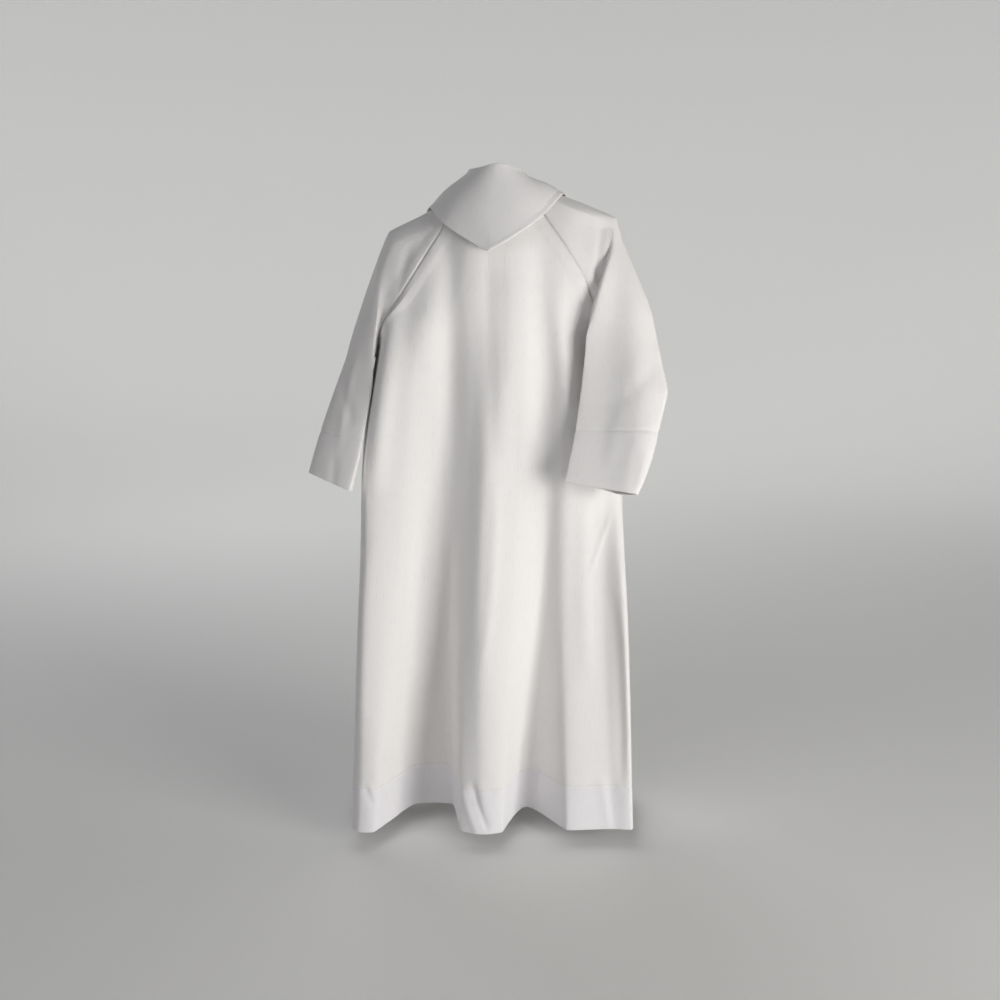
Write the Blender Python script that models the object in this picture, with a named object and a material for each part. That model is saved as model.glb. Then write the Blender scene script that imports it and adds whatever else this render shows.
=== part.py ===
"""Child's hooded alb: a hanging robe of five sewn cloth pieces, modelled as hollow walls.

Units are metres, +Z is up. The wearer faces +Y, so the back of the robe faces -Y and the
wearer's left arm is at -X. The origin is the middle of the neck opening.
Every piece starts as a middle surface: named lines run down the cloth, a smooth curve is
carried across them, and the wall is laid half outside and half inside that surface.
"""
import bpy
import numpy as np

# Cloth
CLOTH = 0.0014            # wall of one layer of poly-cotton with its lie and fluff
HEM_LAYER = 0.0011        # extra wall inside where the hem is turned up
SEAM_GAP = 0.0003         # gap between two pieces along a seam
HEM_DEPTH = 0.075         # turned-up hem of the skirt
CUFF_DEPTH = 0.086        # turned-up hem of each sleeve
STITCH_STEP = 0.0012      # height over which the turned layer starts

# Overall sizes
HEM_Z = -1.055            # lower edge of the skirt
RIBS_Z = -0.380
HIP_Z = -0.620
NECK_DROP = 0.150         # depth of the front neck below the shoulders
LEFT_ARM = 0.236          # sleeve from underarm to cuff edge, along its middle
RIGHT_ARM = 0.279

# Sampling of the walls
SKIRT_ROWS = 12           # rows from underarm to the hem's stitching
HEM_ROWS = 2
YOKE_ROWS = 9             # rows from underarm to neck, shared with the sleeves
BACK_SPAN = 3             # points between two lines of the back
FRONT_SPAN = 3
SLEEVE_SPAN = 5
ARM_ROWS = 8              # rows from underarm to the cuff's stitching
CUFF_ROWS = 2
COLLAR_COLUMNS = 44
COLLAR_SPAN = 2
SAME_PLACE = 0.00001      # points of two pieces this close together share their normal
SHARP_FOLD = np.radians(50)   # edges bent further than this are shaded as corners

# How the surfaces bend between their lines
SIDE_SINK = 4             # how fast the rows level out below the slanting underarm line
BACK_ARCH = 2.0           # squareness of a panel's arch from seam to seam
FRONT_ARCH = 2.5
FOLD_FADE = 2.5           # how fast the folds fade out towards the neck
BACK_SEAM_FADE = 6.0      # how much faster they do beside the seams
FRONT_SEAM_FADE = 0.0
TURN_FADE = 2             # how fast the hem's corners round off upwards to the ribs
NECK_VEE = 1.6            # how fast the front's rows dip towards the V

# Lines down the back, wearer's left to right: x and y at chest, ribs, hip and hem,
# and how sharply the hem turns there (0 round, 1 a corner).
LINE_COLUMNS = ("name", "chest", "ribs", "hip", "hem", "sharp")
BACK_LINES = (
    ("left side", (-0.205, 0.002), (-0.227, 0.004), (-0.240, 0.004), (-0.263, 0.004), 0.0),
    ("left turn", (-0.189, -0.058), (-0.215, -0.082), (-0.230, -0.094), (-0.251, -0.116), 0.5),
    ("left ridge", (-0.172, -0.082), (-0.198, -0.101), (-0.212, -0.118), (-0.237, -0.138), 0.4),
    ("left ridge end", (-0.136, -0.090), (-0.150, -0.098), (-0.168, -0.106), (-0.210, -0.137), 0.7),
    ("left valley", (-0.098, -0.080), (-0.106, -0.080), (-0.114, -0.062), (-0.146, -0.030), 0.5),
    ("left valley end", (-0.070, -0.079), (-0.078, -0.080), (-0.084, -0.058), (-0.080, -0.026), 0.5),
    ("middle edge", (-0.036, -0.088), (-0.046, -0.093), (-0.060, -0.096), (-0.060, -0.132), 0.8),
    ("middle ridge", (0.004, -0.101), (-0.012, -0.112), (-0.026, -0.128), (-0.026, -0.147), 0.0),
    ("middle end", (0.044, -0.096), (0.036, -0.100), (0.026, -0.112), (0.009, -0.138), 0.8),
    ("right valley", (0.082, -0.081), (0.082, -0.087), (0.076, -0.077), (0.052, -0.038), 0.1),
    ("right ridge", (0.120, -0.080), (0.120, -0.095), (0.114, -0.095), (0.119, -0.130), 0.7),
    ("right ridge end", (0.150, -0.040), (0.173, -0.063), (0.178, -0.087), (0.196, -0.126), 0.2),
    ("right turn", (0.172, -0.008), (0.199, -0.030), (0.2155, -0.094), (0.234, -0.126), 0.6),
    ("right side", (0.190, 0.002), (0.209, 0.004), (0.221, 0.004), (0.2435, 0.004), 0.0),
)
FRONT_LINES = (
    ("left side", (-0.205, 0.002), (-0.227, 0.004), (-0.240, 0.004), (-0.263, 0.004), 0.0),
    ("left front turn", (-0.190, 0.046), (-0.212, 0.054), (-0.232, 0.064), (-0.253, 0.070), 0.0),
    ("outer ridge", (-0.166, 0.076), (-0.182, 0.084), (-0.200, 0.098), (-0.222, 0.116), 0.0),
    ("outer valley", (-0.126, 0.084), (-0.138, 0.083), (-0.148, 0.074), (-0.162, 0.056), 0.0),
    ("left front ridge", (-0.078, 0.094), (-0.088, 0.100), (-0.096, 0.115), (-0.096, 0.135), 0.0),
    ("front valley", (-0.020, 0.091), (-0.026, 0.089), (-0.030, 0.080), (-0.018, 0.062), 0.0),
    ("right front ridge", (0.042, 0.095), (0.042, 0.103), (0.046, 0.118), (0.060, 0.140), 0.1),
    ("right front valley", (0.100, 0.085), (0.104, 0.084), (0.116, 0.075), (0.128, 0.054), 0.0),
    ("right outer ridge", (0.148, 0.076), (0.160, 0.086), (0.178, 0.106), (0.202, 0.126), 0.0),
    ("right front turn", (0.177, 0.044), (0.193, 0.052), (0.209, 0.068), (0.235, 0.086), 0.0),
    ("right side", (0.190, 0.002), (0.209, 0.004), (0.221, 0.004), (0.2435, 0.004), 0.0),
)

# Raglan seams from underarm (rise 0) to neck (rise 1). Depth is how far the panel's
# middle stands out past the line that joins the two seams.
SEAM_COLUMNS = ("rise", "left", "right", "depth")
BACK_SEAMS = (
    (0.00, (-0.205, 0.002, -0.245), (0.190, 0.002, -0.240), 0.095),
    (0.18, (-0.1905, -0.045, -0.199), (0.174, -0.040, -0.196), 0.054),
    (0.36, (-0.169, -0.062, -0.166), (0.158, -0.057, -0.158), 0.038),
    (0.56, (-0.137, -0.068, -0.118), (0.140, -0.067, -0.115), 0.027),
    (0.76, (-0.1095, -0.060, -0.0745), (0.107, -0.061, -0.0625), 0.026),
    (0.90, (-0.087, -0.045, -0.038), (0.0774, -0.042, -0.0206), 0.024),
    (1.00, (-0.066, -0.033, 0.004), (0.062, -0.031, 0.008), 0.022),
)
FRONT_SEAMS = (
    (0.00, (-0.205, 0.002, -0.245), (0.190, 0.002, -0.240), 0.095),
    (0.18, (-0.191, 0.045, -0.200), (0.176, 0.042, -0.196), 0.050),
    (0.36, (-0.170, 0.062, -0.164), (0.159, 0.060, -0.158), 0.034),
    (0.56, (-0.140, 0.069, -0.118), (0.136, 0.068, -0.112), 0.026),
    (0.76, (-0.110, 0.062, -0.072), (0.105, 0.062, -0.062), 0.030),
    (0.90, (-0.088, 0.048, -0.036), (0.081, 0.048, -0.024), 0.040),
    (1.00, (-0.070, 0.034, -0.006), (0.066, 0.034, 0.004), 0.050),
)

# Sleeve sections from neck (reach 0) past the underarm (reach 1) to the cuff (reach 2), and
# how sharply the sleeve's outline turns there. Each line takes a share of that turn.
SLEEVE_COLUMNS = ("reach", "crease", "outer", "front", "turn")
LINE_TURNS = (("crease", 0.0), ("outer", 1.0), ("front", 0.0))
LEFT_SLEEVE = (
    (0.00, (-0.071, -0.018, 0.005), (-0.0735, 0.000, 0.011), (-0.072, 0.018, 0.004), 0.0),
    (0.24, (-0.120, -0.037, -0.041), (-0.126, 0.000, -0.017), (-0.124, 0.035, -0.034), 0.0),
    (0.44, (-0.170, -0.038, -0.066), (-0.181, -0.002, -0.0445), (-0.170, 0.040, -0.068), 0.7),
    (0.64, (-0.192, -0.050, -0.124), (-0.208, -0.004, -0.108), (-0.195, 0.050, -0.120), 0.0),
    (0.82, (-0.199, -0.066, -0.184), (-0.231, -0.010, -0.172), (-0.208, 0.060, -0.176), 0.0),
    (1.00, (-0.203, -0.076, -0.234), (-0.250, -0.018, -0.232), (-0.222, 0.064, -0.234), 0.0),
    (1.05, (-0.204, -0.078, -0.248), (-0.253, -0.020, -0.244), (-0.225, 0.062, -0.247), 0.0),
    (1.25, (-0.208, -0.085, -0.298), (-0.2685, -0.032, -0.290), (-0.241, 0.050, -0.300), 0.0),
    (1.50, (-0.217, -0.100, -0.354), (-0.2870, -0.050, -0.345), (-0.260, 0.028, -0.360), 0.0),
    (1.75, (-0.228, -0.114, -0.410), (-0.3025, -0.066, -0.396), (-0.274, 0.002, -0.412), 0.0),
    (2.00, (-0.242, -0.127, -0.4635), (-0.3145, -0.080, -0.4405), (-0.285, -0.022, -0.460), 0.0),
)
RIGHT_SLEEVE = (
    (0.00, (0.068, -0.016, 0.019), (0.073, 0.000, 0.0255), (0.070, 0.018, 0.016), 0.0),
    (0.24, (0.128, -0.034, -0.010), (0.136, 0.000, 0.0055), (0.128, 0.034, -0.011), 0.0),
    (0.44, (0.184, -0.022, -0.030), (0.1990, -0.004, -0.0215), (0.184, 0.032, -0.044), 0.9),
    (0.64, (0.185, -0.042, -0.068), (0.2115, -0.020, -0.069), (0.202, 0.044, -0.086), 0.0),
    (0.82, (0.168, -0.0735, -0.120), (0.2265, -0.044, -0.122), (0.222, 0.044, -0.140), 0.0),
    (1.00, (0.151, -0.090, -0.188), (0.2505, -0.070, -0.186), (0.244, 0.032, -0.206), 0.0),
    (1.05, (0.149, -0.092, -0.200), (0.2533, -0.074, -0.199), (0.246, 0.028, -0.218), 0.0),
    (1.25, (0.143, -0.099, -0.250), (0.2625, -0.094, -0.246), (0.249, 0.006, -0.260), 0.0),
    (1.50, (0.136, -0.110, -0.312), (0.2735, -0.120, -0.303), (0.246, -0.022, -0.320), 0.7),
    (1.75, (0.125, -0.126, -0.380), (0.2475, -0.145, -0.384), (0.226, -0.065, -0.392), 0.3),
    (2.00, (0.1104, -0.141, -0.447), (0.2205, -0.162, -0.463), (0.198, -0.108, -0.472), 0.0),
)
LEFT_SHARP = (0.0, 0.35, 0.1, 0.2, 0.0)      # seam, crease, outer, front, seam
RIGHT_SHARP = (0.0, 0.75, 0.3, 0.1, 0.0)

# Inner line of each sleeve below the underarm, where the raglan seams have met.
UNDER_REACH = 1.05        # first ring of the closed tube
INNER_COLUMNS = ("reach", "inner")
LEFT_INNER = (
    (1.05, (-0.2135, -0.002, -0.2535)),
    (1.25, (-0.224, -0.012, -0.304)),
    (1.50, (-0.238, -0.032, -0.366)),
    (1.75, (-0.242, -0.054, -0.420)),
    (2.00, (-0.249, -0.068, -0.472)),
)
RIGHT_INNER = (
    (1.05, (0.201, -0.006, -0.2470)),
    (1.25, (0.197, -0.032, -0.276)),
    (1.50, (0.180, -0.054, -0.328)),
    (1.75, (0.165, -0.084, -0.390)),
    (2.00, (0.144, -0.116, -0.454)),
)

# Hood collar: share of the way round the neck from the left front, the top of the roll
# and the outer edge of the fall.
COLLAR_NAMES = ("round", "roll", "edge", "sharp")
COLLAR = (
    (0.00, (-0.0035, 0.095, -0.128), (-0.018, 0.101, -0.152), 0.0),
    (0.14, (-0.031, 0.084, -0.046), (-0.086, 0.096, -0.082), 0.0),
    (0.26, (-0.049, 0.034, 0.030), (-0.120, 0.047, -0.016), 0.0),
    (0.335, (-0.046, -0.006, 0.0555), (-0.1100, -0.014, -0.0060), 0.3),
    (0.372, (-0.040, -0.022, 0.0560), (-0.0985, -0.036, -0.0205), 0.0),
    (0.41, (-0.030, -0.036, 0.0560), (-0.0850, -0.056, -0.0350), 0.0),
    (0.50, (0.001, -0.050, 0.0605), (-0.0145, -0.107, -0.0790), 0.8),
    (0.59, (0.030, -0.036, 0.0565), (0.0660, -0.082, -0.0290), 0.0),
    (0.628, (0.041, -0.022, 0.0545), (0.0900, -0.046, -0.0045), 0.0),
    (0.665, (0.0460, -0.006, 0.0520), (0.1095, -0.008, 0.0170), 0.3),
    (0.74, (0.049, 0.036, 0.030), (0.118, 0.047, -0.002), 0.0),
    (0.86, (0.031, 0.084, -0.044), (0.084, 0.096, -0.078), 0.0),
    (1.00, (0.0035, 0.095, -0.128), (0.018, 0.101, -0.152), 0.0),
)
ROLL_RADIUS = 0.006       # half thickness of the collar's rolled top
ROLL_HEIGHT = 1.2         # height of the roll, in radii
ROLL_CLIMB = 0.036        # a stand lower than this has a smaller roll
FALL_BELLY = 0.004        # how far the fall stands out between roll and edge
COLLAR_CLEAR = 0.0016     # the stand starts this far above the neck edge
COLLAR_END = 0.006        # share of the neckline left free at each front end

# Finish: sRGB white cloth, matt
CLOTH_COLOUR = (0.83, 0.82, 0.84, 1.0)
CLOTH_ROUGHNESS = 0.85


def column(table, columns, name):
    """One named column of a table, as an array."""
    place = columns.index(name)
    return np.array([row[place] for row in table], dtype=float)


def smooth_through(knots, values, at, sharp=None, joined=None):
    """A curve through values[k] at knots[k], read at the parameters `at`.

    Each stretch is a cubic whose end slopes are the slope between the two neighbours,
    scaled by 1 - sharp. Where `joined` is 1 the last value is the first one again, and
    the slope runs round through it. The knots run along the first axis of values, and of
    sharp.
    """
    knots = np.asarray(knots, dtype=float)
    values = np.asarray(values, dtype=float)
    at = np.asarray(at, dtype=float)
    tail = (1,) * (values.ndim - 1)
    slopes = np.empty_like(values)
    gaps = np.diff(knots).reshape((-1,) + tail)
    steps = np.diff(values, axis=0) / gaps
    before, after = gaps[:-1], gaps[1:]
    slopes[1:-1] = (steps[:-1] * after + steps[1:] * before) / (before + after)
    slopes[0] = steps[0]
    slopes[-1] = steps[-1]
    if joined is not None:
        around = (steps[-1] * gaps[0] + steps[0] * gaps[-1]) / (gaps[0] + gaps[-1])
        slopes[0] += joined * (around - slopes[0])
        slopes[-1] += joined * (around - slopes[-1])
    if sharp is not None:
        slopes = slopes * (1.0 - np.reshape(sharp, (len(knots), -1) + tail[1:]))
    place = np.clip(np.searchsorted(knots, at, side="right") - 1, 0, len(knots) - 2)
    width = (knots[place + 1] - knots[place]).reshape((-1,) + tail)
    share = (at - knots[place]).reshape((-1,) + tail) / width
    start, end = values[place], values[place + 1]
    leave, arrive = slopes[place] * width, slopes[place + 1] * width
    return (start * (1 + 2 * share) * (1 - share) ** 2 + leave * share * (1 - share) ** 2
            + end * share ** 2 * (3 - 2 * share) - arrive * share ** 2 * (1 - share))


def carry_across(lines, per_span, sharp, joined=None):
    """Rows of a surface: a smooth curve across each row of lines (rows, lines, 3)."""
    count = lines.shape[1]
    at = np.linspace(0, count - 1, (count - 1) * per_span + 1)
    across = np.swapaxes(lines, 0, 1)
    if joined is not None:
        joined = np.asarray(joined, dtype=float)[:, None]
    return np.swapaxes(smooth_through(np.arange(count), across, at, sharp, joined), 0, 1)


def seam_lines(seams):
    """Left and right seam and the panel's depth at the yoke's rows, underarm first."""
    rise = column(seams, SEAM_COLUMNS, "rise")
    at = np.linspace(0.0, 1.0, YOKE_ROWS + 1)
    return [smooth_through(rise, column(seams, SEAM_COLUMNS, name), at)
            for name in ("left", "right", "depth")]


def skirt_heights(start):
    """Heights of the rows from underarm to hem: stitching, the step of the hem, its edge."""
    stitched = HEM_Z + HEM_DEPTH
    plain = np.linspace(start, stitched + STITCH_STEP, SKIRT_ROWS + 1)
    turned = np.linspace(stitched, HEM_Z, HEM_ROWS + 1)
    return np.concatenate([plain, turned])


def body_panel(lines, seams, per_span, neck_drop, squareness, seam_fade):
    """Middle surface of a body panel, from hem to neck, as rows of points.

    Below the underarm each named line runs through its places at chest, ribs, hip and
    hem. Above it the lines keep their share of the way between the two raglan seams,
    the middle stands out by the seams' depth, and the folds fade out upwards, sooner
    beside the seams. The neck
    drop lowers the rows towards the middle of the neck into a V.
    """
    sharp = column(lines, LINE_COLUMNS, "sharp")
    left, right, depth = seam_lines(seams)
    chest = column(lines, LINE_COLUMNS, "chest")
    share = (chest[:, 0] - chest[0, 0]) / (chest[-1, 0] - chest[0, 0])
    chest_z = left[0, 2] + (right[0, 2] - left[0, 2]) * share
    levels = np.stack([column(lines, LINE_COLUMNS, name) for name in ("chest", "ribs", "hip", "hem")])
    middle_z = (left[0, 2] + right[0, 2]) / 2
    heights = skirt_heights(middle_z)
    plan = smooth_through([-middle_z, -RIBS_Z, -HIP_Z, -HEM_Z], levels, -heights)
    sink = (heights - HEM_Z) / (middle_z - HEM_Z)
    skirt_z = heights[:, None] + (chest_z - middle_z)[None, :] * sink[:, None] ** SIDE_SINK
    skirt = np.concatenate([plan, skirt_z[:, :, None]], axis=2)

    rise = np.linspace(0.0, 1.0, YOKE_ROWS + 1)[1:, None]
    outwards = np.sign(chest[:, 1].sum())
    arch = 1.0 - np.abs(2 * share - 1) ** squareness
    between = left[:, None, :] + (right - left)[:, None, :] * share[None, :, None]
    base = between[:, :, 1] + outwards * depth[:, None] * arch[None, :]
    fold = chest[:, 1] - base[0]
    yoke = between[1:].copy()
    fade = FOLD_FADE + seam_fade * (2 * share[None, :] - 1) ** 2
    yoke[:, :, 1] = base[1:] + fold[None, :] * (1 - rise) ** fade
    to_middle = np.interp(share, [0.0, share[len(share) // 2], 1.0], [0.0, 1.0, 0.0])
    yoke[:, :, 2] -= neck_drop * to_middle[None, :] * rise ** NECK_VEE

    rows = np.concatenate([skirt[::-1], yoke])
    turning = np.interp(-rows[:, 0, 2], [-RIBS_Z, -HEM_Z], [0.0, 1.0]) ** TURN_FADE
    return carry_across(rows, per_span, sharp[:, None] * turning)


def sleeve(stations, under_line, arm_length, sharp, back_seam, front_seam):
    """Middle surface of a sleeve, from neck to cuff, as rows of points.

    Its rows run from the back seam over the crease, the outer line and the front line to
    the front seam. Past the underarm the two ends meet on the inner line, as a tube.
    """
    reach = column(stations, SLEEVE_COLUMNS, "reach")
    yoke_at = np.linspace(0.0, 1.0, YOKE_ROWS + 1)
    cuff_share = 2.0 - CUFF_DEPTH / arm_length
    step_share = STITCH_STEP / arm_length
    plain = np.linspace(1.0, cuff_share - step_share, ARM_ROWS + 1)[1:]
    plain[0] = UNDER_REACH
    at = np.concatenate([yoke_at, plain, np.linspace(cuff_share, 2.0, CUFF_ROWS + 1)])
    turn = column(stations, SLEEVE_COLUMNS, "turn")
    outer_lines = np.stack([smooth_through(reach, column(stations, SLEEVE_COLUMNS, name), at, share * turn)
                            for name, share in LINE_TURNS], axis=1)
    under_reach = np.append(1.0, column(under_line, INNER_COLUMNS, "reach"))
    under = np.vstack([back_seam[:1], column(under_line, INNER_COLUMNS, "inner")])
    inner = smooth_through(under_reach, under, at[YOKE_ROWS + 1:])
    first = np.concatenate([back_seam[::-1], inner])[:, None, :]
    last = np.concatenate([front_seam[::-1], inner])[:, None, :]
    rows = np.concatenate([first, outer_lines, last], axis=1)
    joined = (np.arange(len(at)) > YOKE_ROWS).astype(float)
    return carry_across(rows, SLEEVE_SPAN, sharp, joined)


def hood_collar(neckline):
    """Middle surface of the collar: a strip round the neck from front end to front end.

    Each column climbs from the neck edge to the roll, turns over it and falls outwards
    to the free edge. The neck edge follows the neckline by its length.
    """
    lengths = np.append(0.0, np.cumsum(np.linalg.norm(np.diff(neckline, axis=0), axis=1)))
    at = np.linspace(COLLAR_END, 1.0 - COLLAR_END, COLLAR_COLUMNS + 1)
    around = column(COLLAR, COLLAR_NAMES, "round")
    neck = np.stack([np.interp(at, lengths / lengths[-1], places) for places in neckline.T], axis=1)
    roll = smooth_through(around, column(COLLAR, COLLAR_NAMES, "roll"), at)
    sharp = column(COLLAR, COLLAR_NAMES, "sharp")
    edge = smooth_through(around, column(COLLAR, COLLAR_NAMES, "edge"), at, sharp)
    soft_edge = smooth_through(around, column(COLLAR, COLLAR_NAMES, "edge"), at)

    outwards = (edge - roll) * (1.0, 1.0, 0.0)
    outwards /= np.linalg.norm(outwards, axis=1)[:, None]
    up = np.array([0.0, 0.0, 1.0])
    climb = np.linalg.norm(roll - neck, axis=1)[:, None]
    radius = ROLL_RADIUS * np.minimum(1.0, climb / ROLL_CLIMB)
    inside = roll - outwards * radius - up * radius * ROLL_HEIGHT
    outside = roll + outwards * radius - up * radius * ROLL_HEIGHT
    away = np.cross(edge - roll, np.gradient(roll, axis=0))
    away /= np.linalg.norm(away, axis=1)[:, None]
    rising = (inside - neck) / np.linalg.norm(inside - neck, axis=1)[:, None]
    foot = neck + rising * COLLAR_CLEAR
    stand = (foot + inside) / 2
    fall = (outside + soft_edge) / 2 + away * FALL_BELLY
    lines = np.stack([foot, stand, inside, roll, outside, fall, edge], axis=1)
    return carry_across(lines, COLLAR_SPAN, np.zeros(lines.shape[1]))


def grid_faces(rows, columns):
    """Quads of a grid of points numbered row by row."""
    numbers = np.arange(rows * columns).reshape(rows, columns)
    corners = [numbers[:-1, :-1], numbers[:-1, 1:], numbers[1:, 1:], numbers[1:, :-1]]
    return np.stack(corners, axis=-1).reshape(-1, 4)


def shared_points(points):
    """Number of the first of all points that lie in the same place, for each point."""
    places = np.round(points / SAME_PLACE)
    _, first, same = np.unique(places, axis=0, return_index=True, return_inverse=True)
    return first[same.reshape(-1)]


def corner_normals(points, faces, owners):
    """Normals at the points, each the sum over every face that its owner point touches."""
    corners = points[faces]
    across = np.cross(corners[:, 2] - corners[:, 0], corners[:, 3] - corners[:, 1])
    total = np.zeros_like(points)
    np.add.at(total, owners[faces].reshape(-1), np.repeat(across, 4, axis=0))
    normals = total[owners]
    return normals / np.linalg.norm(normals, axis=1)[:, None]


def border_edges(faces):
    """Edges that only one face uses, in that face's direction."""
    edges = np.concatenate([faces[:, [0, 1]], faces[:, [1, 2]], faces[:, [2, 3]], faces[:, [3, 0]]])
    edges = edges[edges[:, 0] != edges[:, 1]]
    known = {(a, b) for a, b in edges.tolist()}
    return np.array([(a, b) for a, b in edges.tolist() if (b, a) not in known])


def pull_back(points, faces, normals, distance):
    """Move each border point of a panel into it by the distance from both its borders.

    A border's sideways direction is square to the border and to the shared normals, so
    the two panels of a seam part along one plane, however sharply they fold there.
    """
    border = border_edges(faces)
    start, end = border[:, 0], border[:, 1]
    sideways = np.cross(normals[start] + normals[end], points[end] - points[start])
    sideways /= np.linalg.norm(sideways, axis=1)[:, None]
    leaving = np.zeros_like(points)
    arriving = np.zeros_like(points)
    leaving[start] = sideways
    arriving[end] = sideways
    both = 1.0 + (leaving * arriving).sum(axis=1)
    return points + distance * (leaving + arriving) / both[:, None]


def cloth_wall(name, points, faces, normals, inner, material):
    """Object with half a layer outside the middle surface and `inner` inside it."""
    weld = shared_points(points)
    faces = weld[faces]
    middle = pull_back(points, faces, normals, SEAM_GAP / 2)
    outside = middle + normals * CLOTH / 2
    inside = middle - normals * inner[:, None]
    used, numbers = np.unique(faces, return_inverse=True)
    faces = numbers.reshape(faces.shape)
    count = len(used)
    rims = [(b, a, a + count, b + count) for a, b in border_edges(faces).tolist()]
    polygons = faces.tolist() + (faces[:, ::-1] + count).tolist() + rims
    mesh = bpy.data.meshes.new(name)
    mesh.from_pydata(np.concatenate([outside[used], inside[used]]).tolist(), [], polygons)
    mesh.materials.append(material)
    mesh.shade_smooth()
    mesh.set_sharp_from_angle(angle=SHARP_FOLD)
    piece = bpy.data.objects.new(name, mesh)
    bpy.context.scene.collection.objects.link(piece)
    return piece


def cloth_material(name):
    """White poly-cotton: matt, no metal."""
    material = bpy.data.materials.new(name)
    material.use_nodes = True
    shader = material.node_tree.nodes["Principled BSDF"]
    shader.inputs["Base Color"].default_value = CLOTH_COLOUR
    shader.inputs["Roughness"].default_value = CLOTH_ROUGHNESS
    shader.inputs["Metallic"].default_value = 0.0
    return material


def hem_wall(rows, first, last):
    """Wall inside the middle surface for each row: thicker on the turned-up rows."""
    inner = np.full(rows, CLOTH / 2)
    inner[first:last] += HEM_LAYER
    return inner


def robe_surfaces():
    """Middle surfaces by piece: rows of points and the inner wall of each row."""
    back = body_panel(BACK_LINES, BACK_SEAMS, BACK_SPAN, 0.0, BACK_ARCH, BACK_SEAM_FADE)
    front = body_panel(FRONT_LINES, FRONT_SEAMS, FRONT_SPAN, NECK_DROP, FRONT_ARCH, FRONT_SEAM_FADE)
    body_rows = back.shape[0]
    back_left, back_right, _ = seam_lines(BACK_SEAMS)
    front_left, front_right, _ = seam_lines(FRONT_SEAMS)
    left = sleeve(LEFT_SLEEVE, LEFT_INNER, LEFT_ARM, LEFT_SHARP, back_left, front_left)
    right = sleeve(RIGHT_SLEEVE, RIGHT_INNER, RIGHT_ARM, RIGHT_SHARP, back_right, front_right)
    arm_rows = left.shape[0]
    skirt = hem_wall(body_rows, 0, HEM_ROWS + 1)
    arm = hem_wall(arm_rows, arm_rows - CUFF_ROWS - 1, arm_rows)
    middle = front.shape[1] // 2
    neckline = np.concatenate([front[-1, middle::-1], left[0, -2::-1], back[-1, 1:],
                               right[0, 1:], front[-1, -2:middle - 1:-1]])
    collar = hood_collar(neckline)
    return {
        "back_panel": (back, skirt),
        "front_panel": (front[:, ::-1], skirt),
        "left_sleeve": (left, arm),
        "right_sleeve": (right[::-1], arm[::-1]),
        "hood_collar": (collar, np.full(collar.shape[0], CLOTH / 2)),
    }


for old in list(bpy.data.objects):
    bpy.data.objects.remove(old, do_unlink=True)

surfaces = robe_surfaces()
all_points = np.concatenate([rows.reshape(-1, 3) for rows, _ in surfaces.values()])
all_faces = []
ranges = {}
start = 0
for name, (rows, _) in surfaces.items():
    height, width = rows.shape[:2]
    all_faces.append(grid_faces(height, width) + start)
    ranges[name] = slice(start, start + height * width)
    start += height * width
all_normals = corner_normals(all_points, np.concatenate(all_faces), shared_points(all_points))

for name, (rows, inner) in surfaces.items():
    height, width = rows.shape[:2]
    cloth_wall(name, all_points[ranges[name]], grid_faces(height, width), all_normals[ranges[name]],
               np.repeat(inner, width), cloth_material(name + "_cloth"))
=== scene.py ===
"""Child's hooded alb in white poly-cotton, hanging open and filled out as if worn."""

import math

import bpy
import numpy as np
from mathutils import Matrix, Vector


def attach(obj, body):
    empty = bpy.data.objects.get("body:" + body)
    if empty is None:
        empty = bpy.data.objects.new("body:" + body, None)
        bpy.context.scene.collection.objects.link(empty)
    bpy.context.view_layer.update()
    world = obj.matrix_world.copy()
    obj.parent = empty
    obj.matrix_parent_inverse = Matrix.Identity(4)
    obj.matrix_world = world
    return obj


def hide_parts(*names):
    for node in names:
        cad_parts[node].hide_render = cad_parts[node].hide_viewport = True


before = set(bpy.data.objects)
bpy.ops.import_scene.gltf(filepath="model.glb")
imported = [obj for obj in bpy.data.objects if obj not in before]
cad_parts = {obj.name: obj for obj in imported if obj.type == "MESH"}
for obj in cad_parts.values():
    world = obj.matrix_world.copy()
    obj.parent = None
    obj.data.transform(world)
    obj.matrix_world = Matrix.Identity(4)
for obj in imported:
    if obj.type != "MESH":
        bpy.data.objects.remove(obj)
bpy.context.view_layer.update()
scene = bpy.context.scene

# ------------------------------------------------------------------
# Back panel. One width of white poly-cotton poplin, cut wider towards the hem and held by
# the raglan seams. It falls from the shoulders in three soft ridges, and its lower edge is
# turned up 75 mm to the inside and stitched all round.

HEM_Z = -1.055              # lower edge of the skirt
RIBS_Z = -0.380
HIP_Z = -0.620
HEM_DEPTH = 0.075           # turned-up hem
POPLIN = 0.0005             # one layer of cloth
HEM_GAP = 0.0012            # from the outer layer to the turned-up one
HEM_CLOSED = 0.65           # share of that gap left at the stitching
ROW_STEP = 0.0055           # spacing of the rows of points
STITCH_ROWS = np.array([-6.0, -3.6, -2.2, -1.1, 0.0, 1.1, 2.2, 3.6, 6.0]) / 1000
YOKE_STEPS = 44             # rows between underarm and neck
BACK_STEPS = 13             # columns between two lines
SEAM_STEPS = np.array([0.0, 0.02, 0.045, 0.08, 0.13, 0.20])     # columns beside a seam
BACK_ARCH = 2.0             # squareness of the arch from seam to seam
FOLD_FADE = 2.5             # how fast the folds fade out towards the neck
BACK_SEAM_FADE = 6.0        # how much faster they do beside the seams
NECK_CURVE = 1.6            # how late the neck's drop sets in
BEND_ROWS = 9               # rows each way over which the bend at the underarm is eased
BEND_COLUMNS = 14           # columns beside a seam that it leaves alone
BEND_PASSES = 60

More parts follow.
